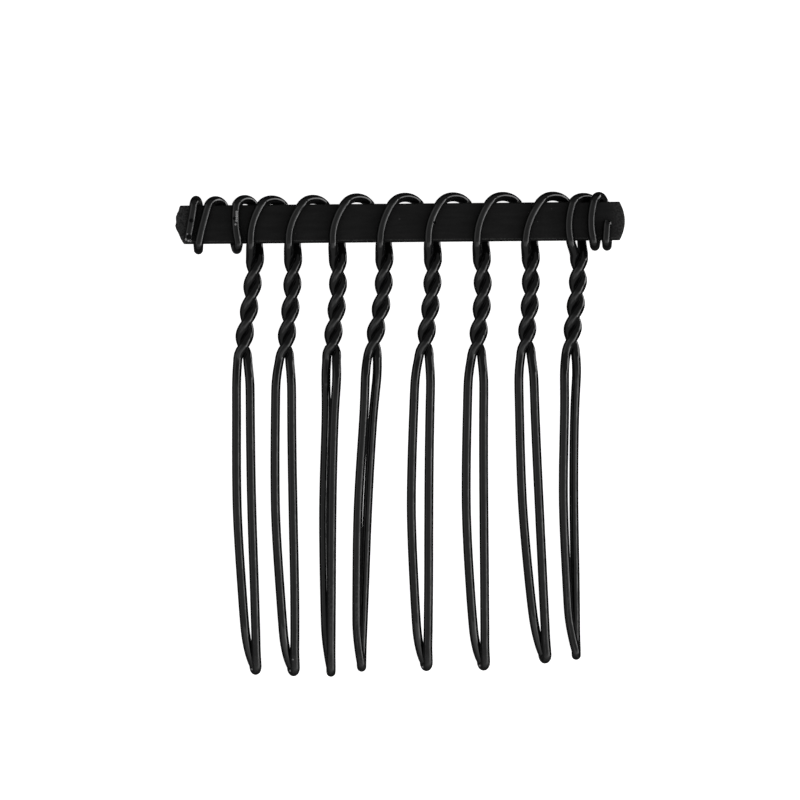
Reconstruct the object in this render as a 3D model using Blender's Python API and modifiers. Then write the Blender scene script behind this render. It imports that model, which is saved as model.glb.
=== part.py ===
"""Side comb: a flat steel bar wound with one wire that drops eight twisted hairpin prongs.

Metres. The comb lies face up, as it rests on a table: +X runs along the bar, +Y from the
prong tips to the bar, and +Z up through the front face. The origin is on the table, below
the middle of the comb's outline.
"""
import math

import bpy
from mathutils import Vector

# Bar
BAR_LENGTH = 0.0510
BAR_WIDTH = 0.0043
BAR_THICKNESS = 0.0010
BAR_EDGE_ROUND = 0.00018
BAR_END_BULGE = 0.0006
BAR_EDGE_STEPS = 2
BAR_EDGE_ANGLE = math.radians(70)

# Wire
WIRE_DIAMETER = 0.0010
WIRE_SIDES = 8
BAR_CLEARANCE = 0.0002
STRAND_CLEARANCE = 0.00008
ARCH_GAP = 0.00026
UNDER_GAP = 0.0002

# Prongs
PRONG_LENGTH = 0.0494
LEFT_MARGIN = 0.00895
RIGHT_MARGIN = 0.0052
GATHER_LENGTH = 0.00196
TWIST_LENGTH = 0.0118
TWIST_CROSSINGS = 4
LOOP_OPENING = 0.00092
SETTLE_LENGTH = 0.0020
TURN_LENGTH = 0.0145
TURN_POWER = 4
TIP_TURN_LENGTH = 0.0050
SHOULDER_RISE = 0.0008
SHOULDER_LENGTH = 0.0042

# Cut ends of the wire, as shares of the bar's width above its lower edge
LEFT_CUT_SHARE = 0.05
RIGHT_CUT_SHARE = 0.50

# The rear wire of a prong crosses the bar's lower edge this share of a pitch beside the root
REAR_FOOT_SHARE = 0.07

# Share of an arch's sideways travel that is gathered at its top
ARCH_GATHER_SHARE = 0.3

# Steps of the wire's centre line
STEPS_PER_QUARTER_TWIST = 2
STEPS_PER_BEND = 6
STEPS_PER_LEG = 3
GATHER_STEPS = 3
LOOP_STEP_SHARES = (0.02, 0.045, 0.08, 0.12, 0.165, 0.23, 0.36, 0.49, 0.64, 0.79, 0.90, 0.955)

# One row for each prong, from the left. Place is counted in mean pitches from the first prong.
# Waist to tip are the sideways shifts of the prong's middle line from its root, in pitches.
# Length is a share of the longest prong, twist of the longest twist, and opening of the widest
# loop. Turn is how far the loop is turned out of the comb's plane, and tip turn how far its tip
# turns beyond that.
PRONG_COLUMNS = ("place", "waist", "neck", "shoulder", "belly", "taper", "tip",
                 "length", "twist", "opening", "turn", "tip_turn")
PRONGS = (
    (0.000, -0.100, -0.270, -0.272, -0.274, -0.201, -0.135, 0.994, 1.00, 0.70, 14, 55),
    (0.824, -0.043, -0.179, -0.223, -0.239, -0.180, -0.135, 0.998, 1.00, 1.00, 0, 65),
    (1.791, -0.014, -0.139, -0.167, -0.262, -0.279, -0.275, 1.000, 0.99, 1.00, 61, 26),
    (2.796, -0.046, -0.242, -0.315, -0.501, -0.581, -0.620, 0.989, 0.97, 1.08, -59, -28),
    (3.845, -0.038, -0.184, -0.245, -0.325, -0.311, -0.283, 0.989, 0.98, 1.00, 4, 62),
    (4.901, 0.008, -0.112, -0.154, -0.196, -0.156, -0.100, 0.989, 0.99, 1.00, 0, 65),
    (5.957, -0.014, -0.110, -0.122, -0.055, 0.062, 0.175, 0.974, 0.97, 0.95, 16, 50),
    (7.000, -0.053, -0.176, -0.213, -0.272, -0.232, -0.190, 0.966, 0.96, 1.10, -53, -34),
)

# Places of those shifts: the waist along the twist, and shoulder to tip along the loop, which
# runs from the last crossing to the tip
WAIST_SHARE = 0.45
LOOP_SHIFT_SHARES = (0.12, 0.49, 0.79, 1.0)

# How far a loop is open along its length, as a share of its full opening
LOOP_SHARES = (0.0, 0.045, 0.08, 0.12, 0.20, 0.49, 0.64, 0.79, 0.90, 0.96, 1.0)
LOOP_OPEN_SHARES = (0.0, 0.13, 0.48, 0.74, 0.83, 1.0, 0.85, 0.54, 0.22, 0.0, 0.0)

# One row for each leg up the bar's front, in the prongs' order. Foot, middle and head are the
# leg's places at the bar's lower edge, middle and upper edge, and width is the sideways travel
# of the arch that carries it over the bar, all in pitches from the prong's root. Gap is how far
# the arch clears the bar's upper edge, as a share of the widest such gap.
LEG_COLUMNS = ("foot", "middle", "head", "width", "gap")
PRONG_LEGS = (
    (-0.074, -0.027, 0.152, 0.472, 0.35),
    (-0.078, -0.013, 0.210, 0.491, 0.46),
    (-0.095, -0.044, 0.163, 0.542, 0.93),
    (-0.080, -0.013, 0.179, 0.586, 1.00),
    (-0.091, -0.036, 0.162, 0.595, 1.00),
    (-0.097, -0.032, 0.169, 0.618, 0.98),
    (-0.106, -0.016, 0.204, 0.596, 0.92),
    (-0.188, -0.212, -0.123, 0.488, 0.22),
)

# The turns at each end of the bar, from the left, as shares of that end's margin. Rear foot is
# where the wire comes back to the bar's lower edge behind it. Gap is as for the legs.
TURN_COLUMNS = ("foot", "middle", "head", "rear_head", "rear_foot", "gap")
LEFT_TURNS = (
    (0.146, 0.197, 0.238, 0.284, 0.272, 0.50),
    (0.296, 0.354, 0.424, 0.605, 0.742, 0.25),
    (0.799, 0.766, 0.777, 0.994, None, 0.65),
)
RIGHT_TURNS = (
    (0.690, 0.731, 0.668, 0.430, 0.360, 0.62),
    (0.412, 0.378, 0.345, None, None, None),
)
LAST_REAR_FOOT_SHARE = 0.612

# The left end's rough cut, from its upper corner to its lower one: how far across the bar, from
# 1 at the upper edge to -1 at the lower, and how far out, as a share of the bulge
ROUGH_END_COLUMNS = ("across", "out")
ROUGH_END = (
    (1.00, 0.08), (0.90, 0.28), (0.75, 0.42), (0.58, 0.72), (0.42, 0.95), (0.12, 0.93),
    (-0.06, 1.08), (-0.22, 0.92), (-0.39, 0.60), (-0.55, 0.32), (-0.72, 0.08),
    (-0.88, -0.24), (-1.00, -0.55),
)
BAR_END_STEPS = 8
MERGE_DISTANCE = 0.00001

# Coatings
MATT_BLACK = (0.009, 0.009, 0.009)
MATT_ROUGHNESS = 0.6
GLOSS_BLACK = (0.016, 0.016, 0.016)
GLOSS_ROUGHNESS = 0.25

# Worked out from the sizes above
WIRE_RADIUS = WIRE_DIAMETER / 2
STRAND_REACH = (WIRE_DIAMETER + STRAND_CLEARANCE) / 2
LEG_LIFT = BAR_THICKNESS / 2 + BAR_CLEARANCE + WIRE_RADIUS
ARCH_RISE = WIRE_RADIUS + ARCH_GAP
UNDER_DIP = WIRE_RADIUS + UNDER_GAP
BAR_Y = (PRONG_LENGTH - ARCH_RISE - WIRE_RADIUS) / 2
BAR_Z = LEG_LIFT + WIRE_RADIUS
LOWER_EDGE_Y = BAR_Y - BAR_WIDTH / 2
UPPER_EDGE_Y = BAR_Y + BAR_WIDTH / 2
BAR_LEFT = -BAR_LENGTH / 2
BAR_RIGHT = BAR_LENGTH / 2
PITCH = (BAR_LENGTH - LEFT_MARGIN - RIGHT_MARGIN) / (len(PRONGS) - 1)
TWIST_QUARTERS = 2 * TWIST_CROSSINGS - 1


def named(columns, rows):
    """The rows of a table as dictionaries keyed by its columns."""
    return [dict(zip(columns, row)) for row in rows]


def smooth(stations, values, at):
    """The value at a place on one smooth line through the values at the stations."""
    last = len(stations) - 1
    slopes = []
    for n in range(last + 1):
        low = max(n - 1, 0)
        high = min(n + 1, last)
        slopes.append((values[high] - values[low]) / (stations[high] - stations[low]))
    n = 0
    while n < last - 1 and at > stations[n + 1]:
        n += 1
    span = stations[n + 1] - stations[n]
    return hermite(values[n], values[n + 1], slopes[n] * span, slopes[n + 1] * span,
                   (at - stations[n]) / span)


def hermite(start, end, start_slope, end_slope, t):
    """A cubic from start to end, t from 0 to 1, with the given slopes at its ends."""
    return ((1 + 2 * t) * (1 - t) ** 2 * start + t * (1 - t) ** 2 * start_slope
            + t * t * (3 - 2 * t) * end + t * t * (t - 1) * end_slope)


def ease_out(share, power=2):
    """From 0 to 1, quick at first and slow at the end."""
    share = min(max(share, 0.0), 1.0)
    return 1 - (1 - share) ** power


def ease(share):
    """From 0 to 1, slow at both ends."""
    share = min(max(share, 0.0), 1.0)
    return share * share * (3 - 2 * share)


def root_x(prong):
    return BAR_LEFT + LEFT_MARGIN + prong["place"] * PITCH


def twist_length(prong):
    """From the bar's lower edge to the last crossing."""
    return TWIST_LENGTH * prong["twist"]


def loop_length(prong):
    """From the last crossing to the middle of the tip's bend."""
    return PRONG_LENGTH * prong["length"] - twist_length(prong) - WIRE_RADIUS - STRAND_REACH


def middle_x(prong, depth):
    """Sideways place of a prong's middle line at a depth below the bar's lower edge."""
    twist = twist_length(prong)
    stations = [0, GATHER_LENGTH, GATHER_LENGTH + WAIST_SHARE * (twist - GATHER_LENGTH), twist]
    stations += [twist + share * loop_length(prong) for share in LOOP_SHIFT_SHARES]
    shifts = [0, 0] + [prong[key] for key in ("waist", "neck", "shoulder", "belly", "taper", "tip")]
    return root_x(prong) + PITCH * smooth(stations, shifts, depth)


def around(degrees):
    """The direction at an angle about a prong's middle line, from +X towards the front."""
    return Vector((math.cos(math.radians(degrees)), 0, math.sin(math.radians(degrees))))


def tip_turned(prong, depth):
    """How far the tip has turned at a depth, in degrees."""
    to_tip = twist_length(prong) + loop_length(prong) - depth
    return prong["tip_turn"] * max(1 - to_tip / TIP_TURN_LENGTH, 0) ** 2


def tip_offset(prong, depth):
    """The middle line's shift as the tip turns about its rear wire, which stays straight."""
    turn = 180 + prong["turn"]
    return (around(turn + tip_turned(prong, depth)) - around(turn)) * STRAND_REACH


def shoulder_lift(prong, depth):
    """How far a prong stands out of its straight line: up to the loop's shoulder, then down again."""
    below = depth - twist_length(prong)
    risen = ease(below / SHOULDER_LENGTH)
    fallen = max(below - SHOULDER_LENGTH, 0) / (loop_length(prong) - SHOULDER_LENGTH)
    return SHOULDER_RISE * risen * (1 - fallen)


def middle(prong, depth):
    """A prong's middle line: from the bar over the loop's shoulder to the tip, on the table."""
    whole = twist_length(prong) + loop_length(prong)
    tip_turn = around(180 + prong["turn"] + prong["tip_turn"])
    tip_z = WIRE_RADIUS + STRAND_REACH * abs(tip_turn.z) - tip_offset(prong, whole).z
    z = BAR_Z + (tip_z - BAR_Z) * depth / whole + shoulder_lift(prong, depth)
    return Vector((middle_x(prong, depth), LOWER_EDGE_Y - depth, z)) + tip_offset(prong, depth)


def wire_angle(prong, depth):
    """The front wire's angle about the prong's middle line, in degrees."""
    twist = twist_length(prong)
    if depth <= twist:
        return 180 + 90 * TWIST_QUARTERS * (depth - GATHER_LENGTH) / (twist - GATHER_LENGTH)
    below = depth - twist
    settled = 90 * ease_out(below / SETTLE_LENGTH)
    turned = prong["turn"] * ease_out(below / TURN_LENGTH, TURN_POWER) + tip_turned(prong, depth)
    return 180 + 90 * TWIST_QUARTERS + settled + turned


def wire_reach(prong, depth):
    """Distance of each wire from the prong's middle line."""
    if depth <= twist_length(prong):
        return STRAND_REACH
    share = (depth - twist_length(prong)) / loop_length(prong)
    opened = max(smooth(LOOP_SHARES, LOOP_OPEN_SHARES, share), 0.0)
    return STRAND_REACH + opened * prong["opening"] * LOOP_OPENING / 2


def strand_point(prong, leg, depth, side):
    """Centre of a prong's front wire (side 1) or rear wire (side -1) at a depth."""
    if depth >= GATHER_LENGTH:
        reach = wire_reach(prong, depth) * side
        return middle(prong, depth) + around(wire_angle(prong, depth)) * reach
    turning = math.radians(90) * TWIST_QUARTERS / (twist_length(prong) - GATHER_LENGTH)
    foot = leg["foot"] * PITCH if side > 0 else REAR_FOOT_SHARE * PITCH
    lean = 2 * (leg["foot"] - leg["middle"]) * PITCH / BAR_WIDTH if side > 0 else 0.0
    share = depth / GATHER_LENGTH
    across = hermite(foot, -side * STRAND_REACH, lean * GATHER_LENGTH, 0.0, share)
    lift = hermite(LEG_LIFT, 0.0, 0.0, -STRAND_REACH * turning * GATHER_LENGTH, share)
    return middle(prong, depth) + Vector((across, 0, side * lift))


def strand_depths(prong):
    """The depths at which a prong's wires have their points, from the bar's edge downwards."""
    depths = [GATHER_LENGTH * n / GATHER_STEPS for n in range(GATHER_STEPS)]
    steps = TWIST_QUARTERS * STEPS_PER_QUARTER_TWIST
    twist = twist_length(prong) - GATHER_LENGTH
    depths += [GATHER_LENGTH + twist * n / steps for n in range(steps + 1)]
    depths += [twist_length(prong) + share * loop_length(prong) for share in LOOP_STEP_SHARES]
    return depths


def tip_bend(prong):
    """The bend that joins the rear wire to the front wire at the tip."""
    centre = middle(prong, twist_length(prong) + loop_length(prong))
    to_front = around(180 + prong["turn"] + prong["tip_turn"]) * STRAND_REACH
    down = Vector((0, -STRAND_REACH, 0))
    points = []
    for n in range(STEPS_PER_BEND + 1):
        turn = math.pi * n / STEPS_PER_BEND
        points.append(centre - to_front * math.cos(turn) + down * math.sin(turn))
    return points


def prong_points(prong, leg):
    """Down the rear wire, round the tip and up the front wire."""
    depths = strand_depths(prong)
    down = [strand_point(prong, leg, depth, -1) for depth in depths]
    up = [strand_point(prong, leg, depth, 1) for depth in reversed(depths)]
    return down + tip_bend(prong) + up


def front_leg(turn, start=0.0, end=1.0):
    """Up the bar's front through a turn's foot, middle and head, between two shares of its width."""
    points = []
    for n in range(STEPS_PER_LEG + 1):
        t = start + (end - start) * n / STEPS_PER_LEG
        x = (turn["foot"] * (1 - t) * (1 - 2 * t) + turn["middle"] * 4 * t * (1 - t)
             + turn["head"] * t * (2 * t - 1))
        points.append(Vector((x, LOWER_EDGE_Y + BAR_WIDTH * t, BAR_Z + LEG_LIFT)))
    return points


def arch(turn):
    """Over the bar's upper edge, from the head of the front leg to the back."""
    points = []
    rise = WIRE_RADIUS + turn["gap"] * ARCH_GAP
    travel = turn["rear_head"] - turn["head"]
    for n in range(1, STEPS_PER_BEND + 1):
        share = n / STEPS_PER_BEND
        along = share - ARCH_GATHER_SHARE * math.sin(2 * math.pi * share) / (2 * math.pi)
        points.append(Vector((turn["head"] + travel * along,
                              UPPER_EDGE_Y + rise * math.sin(math.pi * share),
                              BAR_Z + LEG_LIFT * math.cos(math.pi * share))))
    return points


def under_bar(turn, following):
    """Under the bar's lower edge, from one turn's rear foot to the next turn's front."""
    points = []
    travel = following["foot"] - turn["rear_foot"]
    for n in range(STEPS_PER_BEND):
        share = n / STEPS_PER_BEND
        points.append(Vector((turn["rear_foot"] + travel * share,
                              LOWER_EDGE_Y - UNDER_DIP * math.sin(math.pi * share),
                              BAR_Z - LEG_LIFT * math.cos(math.pi * share))))
    return points


def end_turns(rows, bar_end, margin):
    """The turns at one end of the bar, with their places along the bar."""
    turns = []
    for row in named(TURN_COLUMNS, rows):
        gap = row.pop("gap")
        turn = {key: bar_end + share * margin for key, share in row.items() if share is not None}
        turns.append({**turn, "gap": gap})
    return turns


def prong_turn(prong, leg):
    """The turn that carries a prong's front wire over the bar."""
    turn = {key: root_x(prong) + leg[key] * PITCH for key in ("foot", "middle", "head")}
    turn["rear_head"] = turn["head"] + leg["width"] * PITCH
    turn["gap"] = leg["gap"]
    return turn


def wire_route():
    """The centre line of the whole wire, from its cut end at the left to the one at the right."""
    left = end_turns(LEFT_TURNS, BAR_LEFT, LEFT_MARGIN)
    right = end_turns(RIGHT_TURNS, BAR_RIGHT, -RIGHT_MARGIN)
    route = front_leg(left[0], start=LEFT_CUT_SHARE)
    for turn, following in zip(left, left[1:]):
        route += arch(turn) + under_bar(turn, following) + front_leg(following)
    route += arch(left[-1])
    for prong, leg in zip(named(PRONG_COLUMNS, PRONGS), named(LEG_COLUMNS, PRONG_LEGS)):
        turn = prong_turn(prong, leg)
        route += prong_points(prong, leg) + front_leg(turn)[1:] + arch(turn)
    turn["rear_foot"] = BAR_RIGHT - LAST_REAR_FOOT_SHARE * RIGHT_MARGIN
    route += under_bar(turn, right[0]) + front_leg(right[0]) + arch(right[0])
    route += under_bar(right[0], right[1]) + front_leg(right[1], end=RIGHT_CUT_SHARE)
    return route


def new_collection(name):
    collection = bpy.data.collections.new(name)
    bpy.context.scene.collection.children.link(collection)
    return collection


def new_material(name, colour, roughness):
    """A black coating on steel: the coating is what shows, so it is no bare metal."""
    material = bpy.data.materials.new(name)
    material.use_nodes = True
    shader = material.node_tree.nodes["Principled BSDF"]
    shader.inputs["Base Color"].default_value = (*colour, 1.0)
    shader.inputs["Roughness"].default_value = roughness
    shader.inputs["Metallic"].default_value = 0.0
    return material


def new_curve(name, collection, material, dimensions, points, cyclic):
    """A curve object on one spline of straight runs."""
    curve = bpy.data.curves.new(name, "CURVE")
    curve.dimensions = dimensions
    spline = curve.splines.new("POLY")
    spline.points.add(len(points) - 1)
    for spline_point, point in zip(spline.points, points):
        spline_point.co = (*point, 1.0)
    spline.use_cyclic_u = cyclic
    curve.materials.append(material)
    piece = bpy.data.objects.new(name, curve)
    collection.objects.link(piece)
    return piece


def bar_outline():
    """The bar's outline about its own middle, anticlockwise, with the left end cut roughly."""
    half_length = BAR_LENGTH / 2 - BAR_END_BULGE
    half_width = BAR_WIDTH / 2
    points = []
    for n in range(BAR_END_STEPS + 1):
        across = -1 + 2 * n / BAR_END_STEPS
        points.append(Vector((half_length + BAR_END_BULGE * (1 - across ** 2),
                              half_width * across, 0)))
    for cut in named(ROUGH_END_COLUMNS, ROUGH_END):
        points.append(Vector((-half_length - BAR_END_BULGE * cut["out"],
                              half_width * cut["across"], 0)))
    return points


def make_bar(collection, material):
    """The flat strip, with its long edges rounded."""
    bar = new_curve("bar", collection, material, "2D", bar_outline(), cyclic=True)
    bar.data.fill_mode = "BOTH"
    bar.data.extrude = BAR_THICKNESS / 2
    bar.location = (0, BAR_Y, BAR_Z)
    weld = bar.modifiers.new("join the faces", "WELD")
    weld.merge_threshold = MERGE_DISTANCE
    rounding = bar.modifiers.new("round the edges", "BEVEL")
    rounding.width = BAR_EDGE_ROUND
    rounding.segments = BAR_EDGE_STEPS
    rounding.limit_method = "ANGLE"
    rounding.angle_limit = BAR_EDGE_ANGLE
    return bar


def make_wire(collection, material):
    """The whole wire, as one round tube along its route with both ends closed."""
    wire = new_curve("wire", collection, material, "3D", wire_route(), cyclic=False)
    wire.data.bevel_depth = WIRE_RADIUS
    wire.data.bevel_resolution = WIRE_SIDES // 2 - 2
    wire.data.use_fill_caps = True
    return wire


def main():
    for item in list(bpy.data.objects):
        bpy.data.objects.remove(item)
    comb = new_collection("side comb")
    make_bar(comb, new_material("matt black coating", MATT_BLACK, MATT_ROUGHNESS))
    make_wire(comb, new_material("gloss black coating", GLOSS_BLACK, GLOSS_ROUGHNESS))


main()
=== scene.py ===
"""The side comb as it lies on a white table: the wound wire, the bar and their black coatings.

Metres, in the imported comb's own frame: +X along the bar, +Y from the prong tips to the bar, +Z up
out of the comb's front, and the table at zero.
"""
import math

import bpy
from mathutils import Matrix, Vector


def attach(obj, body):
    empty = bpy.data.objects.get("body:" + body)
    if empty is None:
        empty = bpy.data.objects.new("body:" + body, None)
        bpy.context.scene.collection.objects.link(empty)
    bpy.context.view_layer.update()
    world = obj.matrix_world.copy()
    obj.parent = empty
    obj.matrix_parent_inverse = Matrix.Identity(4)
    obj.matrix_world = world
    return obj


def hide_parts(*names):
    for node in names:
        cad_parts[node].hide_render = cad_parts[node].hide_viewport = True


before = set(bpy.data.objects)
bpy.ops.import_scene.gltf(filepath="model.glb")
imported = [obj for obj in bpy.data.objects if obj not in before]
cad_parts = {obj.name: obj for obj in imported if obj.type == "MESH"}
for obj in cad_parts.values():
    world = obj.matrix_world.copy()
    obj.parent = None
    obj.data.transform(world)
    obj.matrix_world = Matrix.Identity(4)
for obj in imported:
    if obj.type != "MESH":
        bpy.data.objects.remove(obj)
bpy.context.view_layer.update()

# Bar
BAR_LENGTH = 0.0510
BAR_WIDTH = 0.0043
BAR_THICKNESS = 0.0010
BAR_EDGE_ROUND = 0.00018
BAR_END_BULGE = 0.0006
BAR_CROWN = 0.00003
PAINT_THICKNESS = 0.00004

# Wire
WIRE_DIAMETER = 0.0010
BAR_CLEARANCE = 0.0002
STRAND_CLEARANCE = 0.00008
ARCH_GAP = 0.00026
UNDER_GAP = 0.0002
WIRE_SIDES = 24
ENAMEL_THICKNESS = 0.000025

# Enamel fills the seam of a twist: its wires lie this much closer and are coated this much thicker
SEAM_CLOSING = 0.00005
SEAM_COAT = 0.00003

# Prongs
PRONG_LENGTH = 0.0494
LEFT_MARGIN = 0.00895
RIGHT_MARGIN = 0.0052
GATHER_LENGTH = 0.00196
TWIST_LENGTH = 0.0118
TWIST_CROSSINGS = 4
LOOP_OPENING = 0.00092
SETTLE_LENGTH = 0.0020
TURN_LENGTH = 0.0145
TURN_POWER = 4
TIP_TURN_LENGTH = 0.0050
SHOULDER_RISE = 0.0008
SHOULDER_LENGTH = 0.0042

# Cut ends of the wire, as shares of the bar's width above its lower edge, and how wide the cutter
# leaves them, as a share of the wire
LEFT_CUT_SHARE = 0.05
RIGHT_CUT_SHARE = 0.50
CUT_PINCH = 0.8

# The rear wire of a prong crosses the bar's lower edge this share of a pitch beside the root
REAR_FOOT_SHARE = 0.07

# Share of an arch's sideways travel that is gathered at its top
ARCH_GATHER_SHARE = 0.3

# Steps of the wire's centre line, fine enough that no corner shows
STEPS_PER_QUARTER_TWIST = 6
STEPS_PER_BEND = 16
STEPS_PER_LEG = 12
GATHER_STEPS = 8
LOOP_STEPS = 84

# One row for each prong, from the left. Place is counted in mean pitches from the first prong.
# Waist to tip are the sideways shifts of the prong's middle line from its root, in pitches.
# Length is a share of the longest prong, twist of the longest twist, and opening of the widest
# loop. Turn is how far the loop is turned out of the comb's plane, and tip turn how far its tip
# turns beyond that.
PRONG_COLUMNS = ("place", "waist", "neck", "shoulder", "belly", "taper", "tip",
                 "length", "twist", "opening", "turn", "tip_turn")
PRONGS = (
    (0.000, -0.100, -0.270, -0.272, -0.274, -0.201, -0.135, 0.994, 1.00, 0.70, 14, 55),
    (0.824, -0.043, -0.179, -0.223, -0.239, -0.180, -0.135, 0.998, 1.00, 1.00, 0, 65),
    (1.791, -0.014, -0.139, -0.167, -0.262, -0.279, -0.275, 1.000, 0.99, 1.00, 61, 26),
    (2.796, -0.046, -0.242, -0.315, -0.501, -0.581, -0.620, 0.989, 0.97, 1.08, -59, -28),
    (3.845, -0.038, -0.184, -0.245, -0.325, -0.311, -0.283, 0.989, 0.98, 1.00, 4, 62),
    (4.901, 0.008, -0.112, -0.154, -0.196, -0.156, -0.100, 0.989, 0.99, 1.00, 0, 65),
    (5.957, -0.014, -0.110, -0.122, -0.055, 0.062, 0.175, 0.974, 0.97, 0.95, 16, 50),
    (7.000, -0.053, -0.176, -0.213, -0.272, -0.232, -0.190, 0.966, 0.96, 1.10, -53, -34),
)

# Places of those shifts: the waist along the twist, and shoulder to tip along the loop, which
# runs from the last crossing to the tip
WAIST_SHARE = 0.45
LOOP_SHIFT_SHARES = (0.12, 0.49, 0.79, 1.0)

# How far a loop is open along its length, as a share of its full opening
LOOP_SHARES = (0.0, 0.045, 0.08, 0.12, 0.20, 0.49, 0.64, 0.79, 0.90, 0.96, 1.0)
LOOP_OPEN_SHARES = (0.0, 0.13, 0.48, 0.74, 0.83, 1.0, 0.85, 0.54, 0.22, 0.0, 0.0)

# One row for each leg up the bar's front, in the prongs' order. Foot, middle and head are the
# leg's places at the bar's lower edge, middle and upper edge, and width is the sideways travel
# of the arch that carries it over the bar, all in pitches from the prong's root. Gap is how far
# the arch clears the bar's upper edge, as a share of the widest such gap.
LEG_COLUMNS = ("foot", "middle", "head", "width", "gap")
PRONG_LEGS = (
    (-0.074, -0.027, 0.152, 0.472, 0.35),
    (-0.078, -0.013, 0.210, 0.491, 0.46),
    (-0.095, -0.044, 0.163, 0.542, 0.93),
    (-0.080, -0.013, 0.179, 0.586, 1.00),
    (-0.091, -0.036, 0.162, 0.595, 1.00),
    (-0.097, -0.032, 0.169, 0.618, 0.98),
    (-0.106, -0.016, 0.204, 0.596, 0.92),
    (-0.188, -0.212, -0.123, 0.488, 0.22),
)

# The turns at each end of the bar, from the left, as shares of that end's margin. Rear foot is
# where the wire comes back to the bar's lower edge behind it. Gap is as for the legs.
TURN_COLUMNS = ("foot", "middle", "head", "rear_head", "rear_foot", "gap")
LEFT_TURNS = (
    (0.146, 0.197, 0.238, 0.284, 0.272, 0.50),
    (0.296, 0.354, 0.424, 0.605, 0.742, 0.25),
    (0.799, 0.766, 0.777, 0.994, None, 0.65),
)
RIGHT_TURNS = (
    (0.690, 0.731, 0.668, 0.430, 0.360, 0.62),
    (0.412, 0.378, 0.345, None, None, None),
)
LAST_REAR_FOOT_SHARE = 0.612

# The left end's rough cut, from its lower corner to its upper one: how far across the bar, from
# -1 at the lower edge to 1 at the upper, and how far out, as a share of the bulge
ROUGH_END_COLUMNS = ("across", "out")
ROUGH_END = (
    (-1.00, -0.55), (-0.88, -0.24), (-0.72, 0.08), (-0.55, 0.32), (-0.39, 0.60), (-0.22, 0.92),
    (-0.06, 1.08), (0.12, 0.93), (0.42, 0.95), (0.58, 0.72), (0.75, 0.42), (0.90, 0.28),
    (1.00, 0.08),
)
ROUGH_END_DEPTH = 0.00006
ROUGH_END_GRAIN = 9.0
BAR_STEPS_ALONG = 120
BAR_STEPS_ACROSS = 56
BAR_EDGE_STEPS = 3
BAR_EDGE_ANGLE = math.radians(70)
SHARP_ANGLE = math.radians(35)

# Light: brightness of the room, where 1 shows white, and the shares of it on the room's dark side
# and below the table. The room dims between two heights of the horizon, and between two amounts of
# turning to the dark side. One row for each softbox: distance, width and height are in metres, and
# radiance is the brightness that its face adds to the room's.
ROOM_RADIANCE = 0.34
HORIZON_HEIGHTS = (-0.1, 0.3)
DARK_SIDE = (0.45, 0.89, 0.0)
DARK_SIDE_TURNS = (0.02, 0.28)
DARK_SHARE = 0.5
BELOW_SHARE = 0.15
TABLE_GLOW = 0.9
TABLE_ROUGHNESS = 0.9
TABLE_REACH = 3.0
SOFTBOX_COLUMNS = ("name", "direction", "distance", "width", "height", "radiance")
SOFTBOXES = (
    ("overhead softbox", (0.0, -0.42, 0.91), 0.8, 1.1, 0.75, 0.08),
    ("front softbox", (0.0, -0.49, 0.87), 0.8, 1.3, 0.49, 0.42),
    ("right softbox", (0.87, -0.06, 0.49), 0.7, 0.58, 0.14, 4.8),
    ("upper right softbox", (0.72, -0.05, 0.69), 0.7, 0.50, 0.32, 0.8),
    ("right front softbox", (0.51, -0.43, 0.74), 0.7, 0.50, 0.35, 0.6),
    ("low right softbox", (0.91, 0.37, -0.15), 0.7, 0.24, 0.70, 3.0),
    ("left softbox", (-0.86, 0.20, 0.47), 0.7, 0.50, 0.38, 0.35),
)

# Enamel on the wire. The drawing lines and the skin's waves are counted round the wire and along it
# in millimetres, after their stretch: a line is about 2 mm long. The tips are dull beyond these
# shares of the longest prong, and dusted with grains 0.17 mm across, as coarse as they need to show.
ENAMEL_IOR = 1.5
ENAMEL_ROUGHNESS = (0.03, 0.07)
ENAMEL_COLOURS = ("#090909", "#0d0d0e")
ENAMEL_RELIEF = 0.00004
DRAWN_LINES = 5.0
DRAWN_LINE_STRETCH = (1.0, 1.0, 0.12)
SKIN_WAVES = 2.2
SKIN_WAVE_STRETCH = (0.5, 0.5, 1.0)
DULL_TIP_SHARES = (0.94, 0.965)
DULL_TIP_ROUGHNESS = 0.3
DUST_GRAINS = 6000
DUST_COLOUR = "#262626"
# The light colour of bare steel, also used for the painted highlights that stand as glints on the prong
# tips
BARE_STEEL_AND_GLINT_COLOUR = "#8c8c8c"

# Paint on the bar. Its streaks are about 2.5 mm long and 0.4 mm wide, and its grains 0.2 mm across.
# The ends turn lighter from these shares of the bar's width to where they are most so.
PAINT_IOR = 1.3
PAINT_ROUGHNESS = 0.55
PAINT_COLOURS = ("#090909", "#131313")
PAINT_RELIEF = 0.00003
STREAK_STRETCH = (100, 600, 600)
STREAKS = 4.0
PAINT_GRAINS = 5000
LEFT_LIGHTER_SHARES = (2 / 3, 1 / 5)
RIGHT_LIGHTER_SHARES = (1 / 2, 0)
RIGHT_LIGHTER = 0.6
LIGHTER_END_COLOUR = "#404040"

# The painted highlight on the bar's face, a thin light line where its rounded lower edge catches light:
# how far above its lower edge, and half its width
EDGE_HIGHLIGHT_UP = 0.00021
EDGE_HIGHLIGHT_WIDTH = 0.00006
EDGE_HIGHLIGHT_COLOUR = "#383838"

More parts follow.
